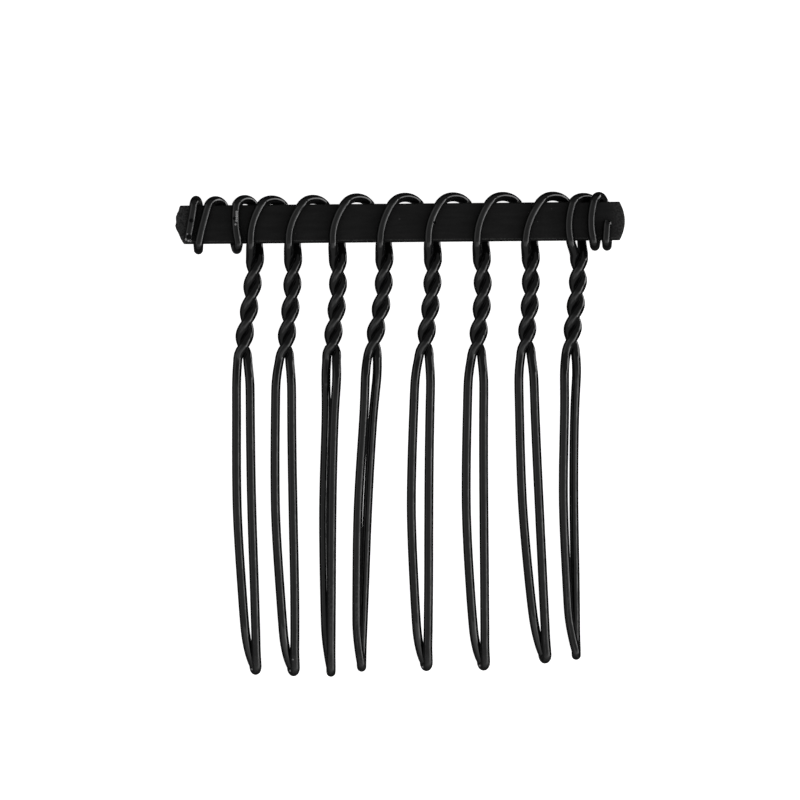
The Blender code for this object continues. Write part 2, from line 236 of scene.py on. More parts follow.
# Marks on the coatings. Each row is a mark's place right of and above the middle of the bar, and
# its radius, in wire diameters. A nick is a pit that faces the room's dark side, up the picture.
MARK_COLUMNS = ("right", "above", "radius")
NICK_FACING = (0.0, 0.82, 0.57)
WIRE_NICKS = (
    (-23.93, -1.45, 0.38),
    (-23.66, 0.42, 0.30),
    (-18.76, 0.62, 0.25),
    (23.73, 0.00, 0.26),
    (3.95, -0.06, 0.24),
)
# Bare steel where the enamel is rubbed through at the cut ends and in a streak on a turn at the left
# end; the last five rows are painted highlights, glints on the prong tips
WIRE_BARE_SPOTS_AND_GLINTS = (
    (-24.30, -1.72, 0.17),
    (-24.00, -1.90, 0.17),
    (-23.70, -1.95, 0.17),
    (-24.12, -1.10, 0.12),
    (-18.66, -0.06, 0.16),
    (-18.55, 0.35, 0.17),
    (-18.54, 0.60, 0.17),
    (-18.53, 0.85, 0.17),
    (-18.52, 1.10, 0.17),
    (-18.51, 1.35, 0.17),
    (24.08, 0.14, 0.20),
    (23.38, 0.12, 0.14),
    (-17.33, -50.61, 0.13),
    (-12.64, -49.51, 0.12),
    (-13.00, -50.81, 0.13),
    (2.10, -50.52, 0.13),
    (8.60, -50.43, 0.13),
)
BAR_SPECK_COLOUR = "#303030"
BAR_SPECKS = (
    (-0.07, 0.43, 0.14),
    (17.20, 1.45, 0.10),
    (15.60, 0.00, 0.10),
    (-11.90, -1.10, 0.09),
)

# Camera: straight above, as the photograph is taken, with the comb's right end turned up a little
FRAME_WIDTH = 0.09095
FRAME_MIDDLE = (-0.0002, 0.00394)
FRAME_ROLL = math.radians(-0.52)
LENS_MM = 200
SENSOR_MM = 36
VIEW_DEPTHS = (0.01, 10.0)

# Worked out from the sizes above
WIRE_RADIUS = WIRE_DIAMETER / 2
STRAND_REACH = (WIRE_DIAMETER + STRAND_CLEARANCE) / 2
LEG_LIFT = BAR_THICKNESS / 2 + BAR_CLEARANCE + WIRE_RADIUS
ARCH_RISE = WIRE_RADIUS + ARCH_GAP
UNDER_DIP = WIRE_RADIUS + UNDER_GAP
BAR_Y = (PRONG_LENGTH - ARCH_RISE - WIRE_RADIUS) / 2
BAR_Z = LEG_LIFT + WIRE_RADIUS
LOWER_EDGE_Y = BAR_Y - BAR_WIDTH / 2
UPPER_EDGE_Y = BAR_Y + BAR_WIDTH / 2
BAR_LEFT = -BAR_LENGTH / 2
BAR_RIGHT = BAR_LENGTH / 2
PITCH = (BAR_LENGTH - LEFT_MARGIN - RIGHT_MARGIN) / (len(PRONGS) - 1)
TWIST_QUARTERS = 2 * TWIST_CROSSINGS - 1
MM = 0.001
SAME_POINT = MM / 100


# The wire's route

def named(columns, rows):
    """The rows of a table as dictionaries keyed by its columns."""
    return [dict(zip(columns, row)) for row in rows]


def smooth(stations, values, at):
    """The value at a place on one smooth line through the values at the stations."""
    last = len(stations) - 1
    slopes = []
    for n in range(last + 1):
        low = max(n - 1, 0)
        high = min(n + 1, last)
        slopes.append((values[high] - values[low]) / (stations[high] - stations[low]))
    n = 0
    while n < last - 1 and at > stations[n + 1]:
        n += 1
    span = stations[n + 1] - stations[n]
    return hermite(values[n], values[n + 1], slopes[n] * span, slopes[n + 1] * span,
                   (at - stations[n]) / span)


def hermite(start, end, start_slope, end_slope, t):
    """A cubic from start to end, t from 0 to 1, with the given slopes at its ends."""
    return ((1 + 2 * t) * (1 - t) ** 2 * start + t * (1 - t) ** 2 * start_slope
            + t * t * (3 - 2 * t) * end + t * t * (t - 1) * end_slope)


def ease_out(share, power=2):
    """From 0 to 1, quick at first and slow at the end."""
    share = min(max(share, 0.0), 1.0)
    return 1 - (1 - share) ** power


def ease(share):
    """From 0 to 1, slow at both ends."""
    share = min(max(share, 0.0), 1.0)
    return share * share * (3 - 2 * share)


def root_x(prong):
    return BAR_LEFT + LEFT_MARGIN + prong["place"] * PITCH


def twist_length(prong):
    """From the bar's lower edge to the last crossing."""
    return TWIST_LENGTH * prong["twist"]


def loop_length(prong):
    """From the last crossing to the middle of the tip's bend."""
    return PRONG_LENGTH * prong["length"] - twist_length(prong) - WIRE_RADIUS - STRAND_REACH


def middle_x(prong, depth):
    """Sideways place of a prong's middle line at a depth below the bar's lower edge."""
    twist = twist_length(prong)
    stations = [0, GATHER_LENGTH, GATHER_LENGTH + WAIST_SHARE * (twist - GATHER_LENGTH), twist]
    stations += [twist + share * loop_length(prong) for share in LOOP_SHIFT_SHARES]
    shifts = [0, 0] + [prong[key] for key in ("waist", "neck", "shoulder", "belly", "taper", "tip")]
    return root_x(prong) + PITCH * smooth(stations, shifts, depth)


def around(degrees):
    """The direction at an angle about a prong's middle line, from +X towards the front."""
    return Vector((math.cos(math.radians(degrees)), 0, math.sin(math.radians(degrees))))


def tip_turned(prong, depth):
    """How far the tip has turned at a depth, in degrees."""
    to_tip = twist_length(prong) + loop_length(prong) - depth
    return prong["tip_turn"] * max(1 - to_tip / TIP_TURN_LENGTH, 0) ** 2


def tip_offset(prong, depth):
    """The middle line's shift as the tip turns about its rear wire, which stays straight."""
    turn = 180 + prong["turn"]
    return (around(turn + tip_turned(prong, depth)) - around(turn)) * STRAND_REACH


def shoulder_lift(prong, depth):
    """How far a prong stands out of its straight line: up to the loop's shoulder, then down again."""
    below = depth - twist_length(prong)
    risen = ease(below / SHOULDER_LENGTH)
    fallen = max(below - SHOULDER_LENGTH, 0) / (loop_length(prong) - SHOULDER_LENGTH)
    return SHOULDER_RISE * risen * (1 - fallen)


def middle(prong, depth):
    """A prong's middle line: from the bar over the loop's shoulder to the tip, on the table."""
    whole = twist_length(prong) + loop_length(prong)
    tip_turn = around(180 + prong["turn"] + prong["tip_turn"])
    tip_z = WIRE_RADIUS + STRAND_REACH * abs(tip_turn.z) - tip_offset(prong, whole).z
    z = BAR_Z + (tip_z - BAR_Z) * depth / whole + shoulder_lift(prong, depth)
    return Vector((middle_x(prong, depth), LOWER_EDGE_Y - depth, z)) + tip_offset(prong, depth)


def wire_angle(prong, depth):
    """The front wire's angle about the prong's middle line, in degrees."""
    twist = twist_length(prong)
    if depth <= twist:
        return 180 + 90 * TWIST_QUARTERS * (depth - GATHER_LENGTH) / (twist - GATHER_LENGTH)
    below = depth - twist
    settled = 90 * ease_out(below / SETTLE_LENGTH)
    turned = prong["turn"] * ease_out(below / TURN_LENGTH, TURN_POWER) + tip_turned(prong, depth)
    return 180 + 90 * TWIST_QUARTERS + settled + turned


def wire_reach(prong, depth):
    """Distance of each wire from the prong's middle line."""
    below = depth - twist_length(prong)
    if below <= 0:
        return STRAND_REACH - SEAM_CLOSING
    share = below / loop_length(prong)
    opened = max(smooth(LOOP_SHARES, LOOP_OPEN_SHARES, share), 0.0)
    closed = SEAM_CLOSING * (1 - ease(below / SETTLE_LENGTH))
    return STRAND_REACH - closed + opened * prong["opening"] * LOOP_OPENING / 2


def strand_point(prong, leg, depth, side):
    """Centre of a prong's front wire (side 1) or rear wire (side -1) at a depth."""
    if depth >= GATHER_LENGTH:
        reach = wire_reach(prong, depth) * side
        return middle(prong, depth) + around(wire_angle(prong, depth)) * reach
    turning = math.radians(90) * TWIST_QUARTERS / (twist_length(prong) - GATHER_LENGTH)
    foot = leg["foot"] * PITCH if side > 0 else REAR_FOOT_SHARE * PITCH
    lean = 2 * (leg["foot"] - leg["middle"]) * PITCH / BAR_WIDTH if side > 0 else 0.0
    share = depth / GATHER_LENGTH
    reach = STRAND_REACH - SEAM_CLOSING
    across = hermite(foot, -side * reach, lean * GATHER_LENGTH, 0.0, share)
    lift = hermite(LEG_LIFT, 0.0, 0.0, -reach * turning * GATHER_LENGTH, share)
    return middle(prong, depth) + Vector((across, 0, side * lift))


def strand_depths(prong):
    """The depths at which a prong's wires have their points, from the bar's edge downwards."""
    depths = [GATHER_LENGTH * n / GATHER_STEPS for n in range(GATHER_STEPS)]
    steps = TWIST_QUARTERS * STEPS_PER_QUARTER_TWIST
    twist = twist_length(prong) - GATHER_LENGTH
    depths += [GATHER_LENGTH + twist * n / steps for n in range(steps + 1)]
    loop = loop_length(prong)
    depths += [twist_length(prong) + loop * n / LOOP_STEPS for n in range(1, LOOP_STEPS)]
    return depths


def tip_bend(prong):
    """The bend that joins the rear wire to the front wire at the tip."""
    centre = middle(prong, twist_length(prong) + loop_length(prong))
    to_front = around(180 + prong["turn"] + prong["tip_turn"]) * STRAND_REACH
    down = Vector((0, -STRAND_REACH, 0))
    points = []
    for n in range(STEPS_PER_BEND + 1):
        turn = math.pi * n / STEPS_PER_BEND
        points.append(centre - to_front * math.cos(turn) + down * math.sin(turn))
    return points


def prong_points(prong, leg):
    """Down the rear wire, round the tip and up the front wire."""
    depths = strand_depths(prong)
    down = [strand_point(prong, leg, depth, -1) for depth in depths]
    up = [strand_point(prong, leg, depth, 1) for depth in reversed(depths)]
    return down + tip_bend(prong) + up


def front_leg(turn, start=0.0, end=1.0):
    """Up the bar's front through a turn's foot, middle and head, between two shares of its width."""
    points = []
    for n in range(STEPS_PER_LEG + 1):
        t = start + (end - start) * n / STEPS_PER_LEG
        x = (turn["foot"] * (1 - t) * (1 - 2 * t) + turn["middle"] * 4 * t * (1 - t)
             + turn["head"] * t * (2 * t - 1))
        points.append(Vector((x, LOWER_EDGE_Y + BAR_WIDTH * t, BAR_Z + LEG_LIFT)))
    return points


def arch(turn):
    """Over the bar's upper edge, from the head of the front leg to the back."""
    points = []
    rise = WIRE_RADIUS + turn["gap"] * ARCH_GAP
    travel = turn["rear_head"] - turn["head"]
    for n in range(1, STEPS_PER_BEND + 1):
        share = n / STEPS_PER_BEND
        along = share - ARCH_GATHER_SHARE * math.sin(2 * math.pi * share) / (2 * math.pi)
        points.append(Vector((turn["head"] + travel * along,
                              UPPER_EDGE_Y + rise * math.sin(math.pi * share),
                              BAR_Z + LEG_LIFT * math.cos(math.pi * share))))
    return points


def rear_leg(start, end):
    """Straight down the bar's back, from the end of an arch to the bar's lower edge."""
    return [start.lerp(end, n / STEPS_PER_LEG) for n in range(1, STEPS_PER_LEG)]


def under_bar(turn, following):
    """Under the bar's lower edge, from one turn's rear foot to the next turn's front."""
    points = []
    travel = following["foot"] - turn["rear_foot"]
    for n in range(STEPS_PER_BEND):
        share = n / STEPS_PER_BEND
        points.append(Vector((turn["rear_foot"] + travel * share,
                              LOWER_EDGE_Y - UNDER_DIP * math.sin(math.pi * share),
                              BAR_Z - LEG_LIFT * math.cos(math.pi * share))))
    return points


def end_turns(rows, bar_end, margin):
    """The turns at one end of the bar, with their places along the bar."""
    turns = []
    for row in named(TURN_COLUMNS, rows):
        gap = row.pop("gap")
        turn = {key: bar_end + share * margin for key, share in row.items() if share is not None}
        turns.append({**turn, "gap": gap})
    return turns


def prong_turn(prong, leg):
    """The turn that carries a prong's front wire over the bar."""
    turn = {key: root_x(prong) + leg[key] * PITCH for key in ("foot", "middle", "head")}
    turn["rear_head"] = turn["head"] + leg["width"] * PITCH
    turn["gap"] = leg["gap"]
    return turn


def wire_route():
    """The centre line of the whole wire, from its cut end at the left to the one at the right."""
    left = end_turns(LEFT_TURNS, BAR_LEFT, LEFT_MARGIN)
    right = end_turns(RIGHT_TURNS, BAR_RIGHT, -RIGHT_MARGIN)
    pieces = [front_leg(left[0], start=LEFT_CUT_SHARE)]
    for turn, following in zip(left, left[1:]):
        pieces += [arch(turn), under_bar(turn, following), front_leg(following)]
    pieces.append(arch(left[-1]))
    for prong, leg in zip(named(PRONG_COLUMNS, PRONGS), named(LEG_COLUMNS, PRONG_LEGS)):
        turn = prong_turn(prong, leg)
        pieces += [prong_points(prong, leg), front_leg(turn)[1:], arch(turn)]
    turn["rear_foot"] = BAR_RIGHT - LAST_REAR_FOOT_SHARE * RIGHT_MARGIN
    pieces += [under_bar(turn, right[0]), front_leg(right[0]), arch(right[0])]
    pieces += [under_bar(right[0], right[1]), front_leg(right[1], end=RIGHT_CUT_SHARE)]
    route = []
    for piece in pieces:
        if route and (piece[0] - route[-1]).length > BAR_WIDTH / 2:
            route += rear_leg(route[-1], piece[0])
        meets = route and (piece[0] - route[-1]).length <= SAME_POINT
        route += piece[1:] if meets else piece
    return route


# Node trees

def add(tree, kind, inputs=(), **settings):
    """A node with its settings, and its inputs by name or number: a value, or a socket to feed it."""
    node = tree.nodes.new(kind)
    for name, value in settings.items():
        setattr(node, name, value)
    for key, value in dict(inputs).items():
        if isinstance(value, bpy.types.NodeSocket):
            tree.links.new(value, node.inputs[key])
        else:
            node.inputs[key].default_value = value
    return node


def new_tree(name, sizes):
    """A geometry tree with a geometry input and output and the named sizes between them."""
    tree = bpy.data.node_groups.new(name, "GeometryNodeTree")
    tree.interface.new_socket("Geometry", in_out="INPUT", socket_type="NodeSocketGeometry")
    for label, kind in sizes:
        tree.interface.new_socket(label, in_out="INPUT", socket_type=kind)
    tree.interface.new_socket("Geometry", in_out="OUTPUT", socket_type="NodeSocketGeometry")
    return tree, tree.nodes.new("NodeGroupInput").outputs


def end_tree(tree, geometry, material):
    """Real faces only, in their material, out of the tree."""
    real = add(tree, "GeometryNodeRealizeInstances", {"Geometry": geometry})
    dressed = add(tree, "GeometryNodeSetMaterial", {"Geometry": real.outputs[0], "Material": material})
    add(tree, "NodeGroupOutput", {"Geometry": dressed.outputs[0]})


def wire_tree():
    """Sweeps a round section along the route, and notes where each point lies on the wire."""
    tree, size = new_tree("draw the wire", (
        ("Wire diameter", "NodeSocketFloat"), ("Sides", "NodeSocketInt"),
        ("Cut length", "NodeSocketFloat"), ("Cut width", "NodeSocketFloat"),
        ("Seam top", "NodeSocketFloat"), ("Seam end", "NodeSocketFloat"),
        ("Seam run-out", "NodeSocketFloat"), ("Seam fill", "NodeSocketFloat"),
        ("Coating", "NodeSocketMaterial")))
    line = add(tree, "GeometryNodeMeshToCurve", {"Mesh": size["Geometry"]})
    spot = add(tree, "GeometryNodeInputPosition")
    height = add(tree, "ShaderNodeSeparateXYZ", {0: spot.outputs[0]}).outputs["Y"]
    seam_start = add(tree, "ShaderNodeMath", {0: size["Seam top"], 1: size["Seam run-out"]},
                     operation="SUBTRACT")
    seam_below = add(tree, "ShaderNodeMath", {0: size["Seam end"], 1: size["Seam run-out"]},
                     operation="SUBTRACT")
    fill_in = add(tree, "ShaderNodeMapRange", {"Value": height, "From Min": size["Seam top"],
                                               "From Max": seam_start.outputs[0]},
                  interpolation_type="SMOOTHSTEP")
    fill_out = add(tree, "ShaderNodeMapRange", {"Value": height, "From Min": seam_below.outputs[0],
                                                "From Max": size["Seam end"]},
                   interpolation_type="SMOOTHSTEP")
    filled = add(tree, "ShaderNodeMath", {0: fill_in.outputs[0], 1: fill_out.outputs[0]},
                 operation="MULTIPLY")
    coated = add(tree, "ShaderNodeMath", {0: filled.outputs[0], 1: size["Seam fill"], 2: 1.0},
                 operation="MULTIPLY_ADD")
    place = add(tree, "GeometryNodeSplineParameter")
    whole = add(tree, "GeometryNodeSplineLength")
    to_end = add(tree, "ShaderNodeMath", {0: whole.outputs["Length"], 1: place.outputs["Length"]},
                 operation="SUBTRACT")
    to_cut = add(tree, "ShaderNodeMath", {0: place.outputs["Length"], 1: to_end.outputs[0]},
                 operation="MINIMUM")
    pinch = add(tree, "ShaderNodeMapRange", {"Value": to_cut.outputs[0], "From Min": 0.0,
                                             "From Max": size["Cut length"],
                                             "To Min": size["Cut width"], "To Max": 1.0},
                interpolation_type="SMOOTHSTEP")
    girth = add(tree, "ShaderNodeMath", {0: pinch.outputs[0], 1: coated.outputs[0]},
                operation="MULTIPLY")
    kept = add(tree, "GeometryNodeCaptureAttribute", {"Geometry": line.outputs[0]})
    kept.capture_items.new("FLOAT", "Along")
    tree.links.new(place.outputs["Length"], kept.inputs["Along"])
    half = add(tree, "ShaderNodeMath", {0: size["Wire diameter"], 1: 0.5}, operation="MULTIPLY")
    ring = add(tree, "GeometryNodeCurvePrimitiveCircle", {"Resolution": size["Sides"],
                                                          "Radius": half.outputs[0]})
    unit = add(tree, "ShaderNodeVectorMath", {0: spot.outputs[0]}, operation="NORMALIZE")
    kept_ring = add(tree, "GeometryNodeCaptureAttribute", {"Geometry": ring.outputs[0]})
    kept_ring.capture_items.new("VECTOR", "Side")
    tree.links.new(unit.outputs[0], kept_ring.inputs["Side"])
    swept = add(tree, "GeometryNodeCurveToMesh", {"Curve": kept.outputs["Geometry"],
                                                  "Profile Curve": kept_ring.outputs["Geometry"],
                                                  "Scale": girth.outputs[0], "Fill Caps": True})
    along = add(tree, "ShaderNodeMath", {0: kept.outputs["Along"], 1: MM}, operation="DIVIDE")
    side = add(tree, "ShaderNodeSeparateXYZ", {0: kept_ring.outputs["Side"]})
    on_wire = add(tree, "ShaderNodeCombineXYZ", {"X": side.outputs["X"], "Y": side.outputs["Y"],
                                                 "Z": along.outputs[0]})
    noted = add(tree, "GeometryNodeStoreNamedAttribute",
                {"Geometry": swept.outputs[0], "Name": "on_wire", "Value": on_wire.outputs[0]},
                data_type="FLOAT_VECTOR", domain="POINT")
    end_tree(tree, noted.outputs[0], size["Coating"])
    return tree


def strip_tree():
    """A rolled strip: a little crowned, bulged at its right end and roughly cut at its left."""
    tree, size = new_tree("roll the strip", (
        ("Length", "NodeSocketFloat"), ("Width", "NodeSocketFloat"), ("Thickness", "NodeSocketFloat"),
        ("Crown", "NodeSocketFloat"), ("Bulge", "NodeSocketFloat"), ("Roughness", "NodeSocketFloat"),
        ("Coating", "NodeSocketMaterial")))
    box = add(tree, "ShaderNodeCombineXYZ", {"X": size["Length"], "Y": size["Width"],
                                             "Z": size["Thickness"]})
    block = add(tree, "GeometryNodeMeshCube", {"Size": box.outputs[0], "Vertices X": BAR_STEPS_ALONG,
                                               "Vertices Y": BAR_STEPS_ACROSS, "Vertices Z": 2})
    place = add(tree, "GeometryNodeInputPosition")
    share = add(tree, "ShaderNodeVectorMath", {0: place.outputs[0], 1: box.outputs[0]},
                operation="DIVIDE")
    unit = add(tree, "ShaderNodeVectorMath", {0: share.outputs[0], 1: (2, 2, 2)}, operation="MULTIPLY")
    at = add(tree, "ShaderNodeSeparateXYZ", {0: unit.outputs[0]})
    across = at.outputs["Y"]
    square = add(tree, "ShaderNodeMath", {0: across, 1: across}, operation="MULTIPLY")
    right_in = add(tree, "ShaderNodeMath", {0: size["Bulge"], 1: square.outputs[0]},
                   operation="MULTIPLY")
    to_share = add(tree, "ShaderNodeMapRange", {"Value": across, "From Min": -1.0, "From Max": 1.0})
    cut = add(tree, "ShaderNodeFloatCurve", {"Value": to_share.outputs[0]})
    cut.mapping.use_clip = False
    line = cut.mapping.curves[0]
    rows = named(ROUGH_END_COLUMNS, ROUGH_END)
    while len(line.points) < len(rows):
        line.points.new(0.5, 0.5)
    for point, row in zip(line.points, rows):
        point.location = ((row["across"] + 1) / 2, 1 - row["out"])
        point.handle_type = "VECTOR"
    cut.mapping.update()
    grain = add(tree, "ShaderNodeTexNoise", {"W": across, "Scale": ROUGH_END_GRAIN, "Detail": 3.0},
                noise_dimensions="1D")
    torn = add(tree, "ShaderNodeMath", {0: grain.outputs[0], 1: size["Roughness"]},
               operation="MULTIPLY")
    left_in = add(tree, "ShaderNodeMath", {0: cut.outputs[0], 1: size["Bulge"], 2: torn.outputs[0]},
                  operation="MULTIPLY_ADD")
    is_right = add(tree, "ShaderNodeMath", {0: at.outputs["X"], 1: 0.0}, operation="GREATER_THAN")
    pulled = add(tree, "ShaderNodeMix", {0: is_right.outputs[0], 2: left_in.outputs[0],
                                         3: right_in.outputs[0]})
    shift = add(tree, "ShaderNodeMath", {0: at.outputs["X"], 1: pulled.outputs[0]},
                operation="MULTIPLY")
    inwards = add(tree, "ShaderNodeMath", {0: shift.outputs[0], 1: -1.0}, operation="MULTIPLY")
    fall = add(tree, "ShaderNodeMath", {0: square.outputs[0], 1: size["Crown"]}, operation="MULTIPLY")
    fall_z = add(tree, "ShaderNodeMath", {0: fall.outputs[0], 1: at.outputs["Z"]}, operation="MULTIPLY")
    down = add(tree, "ShaderNodeMath", {0: fall_z.outputs[0], 1: -1.0}, operation="MULTIPLY")
    offset = add(tree, "ShaderNodeCombineXYZ", {"X": inwards.outputs[0], "Z": down.outputs[0]})
    shaped = add(tree, "GeometryNodeSetPosition", {"Geometry": block.outputs["Mesh"],
                                                   "Offset": offset.outputs[0]})
    end_tree(tree, shaped.outputs[0], size["Coating"])
    return tree


def grown(name, base, tree, sizes, finish=()):
    """A plain mesh piece at the origin: the base, run through the tree and any finishing modifiers."""
    piece = bpy.data.objects.new(name, base)
    bpy.context.scene.collection.objects.link(piece)
    modifier = piece.modifiers.new(tree.name, "NODES")
    modifier.node_group = tree
    for socket in tree.interface.items_tree:
        if socket.in_out == "INPUT" and socket.name in sizes:
            modifier[socket.identifier] = sizes[socket.name]
    for kind, settings in finish:
        finishing = piece.modifiers.new(kind, kind)
        for key, value in settings.items():
            setattr(finishing, key, value)
    graph = bpy.context.evaluated_depsgraph_get()
    made = bpy.data.meshes.new_from_object(piece.evaluated_get(graph), preserve_all_data_layers=True,
                                           depsgraph=graph)
    piece.modifiers.clear()
    piece.data = made
    made.name = name
    made.shade_smooth()
    made.set_sharp_from_angle(angle=SHARP_ANGLE)
    return piece


def make_wire(coating):
    """The whole wire, from one cut end to the other."""
    route = wire_route()
    base = bpy.data.meshes.new("wire route")
    base.from_pydata(route, [(n, n + 1) for n in range(len(route) - 1)], [])
    sizes = {"Wire diameter": WIRE_DIAMETER + 2 * ENAMEL_THICKNESS, "Sides": WIRE_SIDES,
             "Cut length": WIRE_RADIUS, "Cut width": CUT_PINCH,
             "Seam top": LOWER_EDGE_Y, "Seam end": LOWER_EDGE_Y - TWIST_LENGTH,
             "Seam run-out": GATHER_LENGTH, "Seam fill": SEAM_COAT / WIRE_RADIUS, "Coating": coating}
    return grown("coated_wire", base, wire_tree(), sizes)


def make_bar(coating):
    """The flat strip that the wire is wound on."""
    sizes = {"Length": BAR_LENGTH + 2 * PAINT_THICKNESS, "Width": BAR_WIDTH + 2 * PAINT_THICKNESS,
             "Thickness": BAR_THICKNESS + 2 * PAINT_THICKNESS, "Crown": BAR_CROWN,
             "Bulge": BAR_END_BULGE, "Roughness": ROUGH_END_DEPTH, "Coating": coating}
    rounding = {"width": BAR_EDGE_ROUND, "segments": BAR_EDGE_STEPS, "limit_method": "ANGLE",
                "angle_limit": BAR_EDGE_ANGLE, "use_clamp_overlap": False}
    bar = grown("coated_bar", bpy.data.meshes.new("strip"), strip_tree(), sizes, [("BEVEL", rounding)])
    for vertex in bar.data.vertices:
        vertex.co += Vector((0, BAR_Y, BAR_Z))
    return bar


# Materials

def marks(tree, place, rows):
    """1 inside any of the marks and 0 outside them, soft at their edges."""
    within = None
    flat = add(tree, "ShaderNodeVectorMath", {0: place, 1: (1, 1, 0)}, operation="MULTIPLY")
    for mark in named(MARK_COLUMNS, rows):
        centre = (mark["right"] * WIRE_DIAMETER, BAR_Y + mark["above"] * WIRE_DIAMETER, 0)
        radius = mark["radius"] * WIRE_DIAMETER
        gap = add(tree, "ShaderNodeVectorMath", {0: flat.outputs[0], 1: centre}, operation="DISTANCE")
        mask = add(tree, "ShaderNodeMapRange",
                   {"Value": gap.outputs["Value"], "From Min": radius, "From Max": radius / 2},
                   interpolation_type="SMOOTHSTEP")
        if within:
            mask = add(tree, "ShaderNodeMath", {0: mask.outputs[0], 1: within.outputs[0]},
                       operation="MAXIMUM")
        within = mask
    return within.outputs[0]


def linear(hex_colour):
    """An sRGB hex colour as the linear colour that shaders take."""
    channels = [int(hex_colour[n:n + 2], 16) / 255 for n in (1, 3, 5)]
    return (*[c / 12.92 if c <= 0.04045 else ((c + 0.055) / 1.055) ** 2.4 for c in channels], 1.0)


def new_material(name):
    """An empty material with its output and shader."""
    material = bpy.data.materials.new(name)
    material.use_nodes = True
    tree = material.node_tree
    tree.nodes.clear()
    shader = add(tree, "ShaderNodeBsdfPrincipled")
    add(tree, "ShaderNodeOutputMaterial", {"Surface": shader.outputs[0]})
    return material, tree, shader


def gloss_black_enamel():
    """Black baking enamel, dipped on drawn steel wire: a smooth skin that follows the drawing lines.

    Its shine breaks into long fine lines. It is nicked in a few places and rubbed to bare steel at the
    cut ends. Painted highlights stand as glints in spots at the tips, and the tips are dull.
    """
    material, tree, shader = new_material("gloss black enamel on drawn wire")
    shader.inputs["IOR"].default_value = ENAMEL_IOR
    shader.inputs["Metallic"].default_value = 0.0
    on_wire = add(tree, "ShaderNodeAttribute", attribute_name="on_wire")
    lines = add(tree, "ShaderNodeMapping", {"Vector": on_wire.outputs["Vector"],
                                            "Scale": DRAWN_LINE_STRETCH})
    drawn = add(tree, "ShaderNodeTexNoise", {"Vector": lines.outputs[0], "Scale": DRAWN_LINES,
                                             "Detail": 3.0})
    skin = add(tree, "ShaderNodeMapping", {"Vector": on_wire.outputs["Vector"],
                                           "Scale": SKIN_WAVE_STRETCH})
    peel = add(tree, "ShaderNodeTexNoise", {"Vector": skin.outputs[0], "Scale": SKIN_WAVES,
                                            "Detail": 2.0})
    tone = add(tree, "ShaderNodeMapRange", {"Value": peel.outputs[0], "From Min": 0.35,
                                            "From Max": 0.65})
    place = add(tree, "ShaderNodeTexCoord").outputs["Object"]
    height = add(tree, "ShaderNodeSeparateXYZ", {0: place}).outputs["Y"]
    dull_start, dull_end = [LOWER_EDGE_Y - share * PRONG_LENGTH for share in DULL_TIP_SHARES]
    dull = add(tree, "ShaderNodeMapRange",
               {"Value": height, "From Min": dull_start, "From Max": dull_end},
               interpolation_type="SMOOTHSTEP")
    dust = add(tree, "ShaderNodeTexNoise", {"Vector": place, "Scale": DUST_GRAINS, "Detail": 2.0})
    speckled = add(tree, "ShaderNodeMapRange",
                   {"Value": dust.outputs[0], "From Min": 0.5, "From Max": 0.7},
                   interpolation_type="SMOOTHSTEP")
    deep, pale = [linear(colour) for colour in ENAMEL_COLOURS]
    skinned = add(tree, "ShaderNodeMix", {0: tone.outputs[0], 6: deep, 7: pale}, data_type="RGBA")
    dusty = add(tree, "ShaderNodeMath", {0: dull.outputs[0], 1: speckled.outputs[0]},
                operation="MULTIPLY")
    dusted = add(tree, "ShaderNodeMix", {0: dusty.outputs[0], 6: skinned.outputs[2],
                                         7: linear(DUST_COLOUR)}, data_type="RGBA")
    # Bare steel at the rubbed spots, and painted highlights in the same light colour as glints at the
    # prong tips
    worn_and_glinting = add(tree, "ShaderNodeMix", {0: marks(tree, place, WIRE_BARE_SPOTS_AND_GLINTS), 6: dusted.outputs[2],
                                       7: linear(BARE_STEEL_AND_GLINT_COLOUR)}, data_type="RGBA")
    tree.links.new(worn_and_glinting.outputs[2], shader.inputs["Base Color"])
    smoothest, roughest = ENAMEL_ROUGHNESS
    sheen = add(tree, "ShaderNodeMapRange",
                {"Value": drawn.outputs[0], "From Min": 0.3, "From Max": 0.7,
                 "To Min": smoothest, "To Max": roughest}, interpolation_type="SMOOTHSTEP")
    rough = add(tree, "ShaderNodeMath", {0: dull.outputs[0], 1: DULL_TIP_ROUGHNESS,
                                         2: sheen.outputs[0]}, operation="MULTIPLY_ADD")
    tree.links.new(rough.outputs[0], shader.inputs["Roughness"])
    relief = add(tree, "ShaderNodeMath", {0: drawn.outputs[0], 1: 0.5, 2: peel.outputs[0]},
                 operation="MULTIPLY_ADD")
    bump = add(tree, "ShaderNodeBump", {"Height": relief.outputs[0], "Strength": 0.25,
                                        "Distance": ENAMEL_RELIEF})
    nicked = add(tree, "ShaderNodeMix", {0: marks(tree, place, WIRE_NICKS), 4: bump.outputs[0],
                                         5: NICK_FACING}, data_type="VECTOR")
    tree.links.new(nicked.outputs[1], shader.inputs["Normal"])
    return material


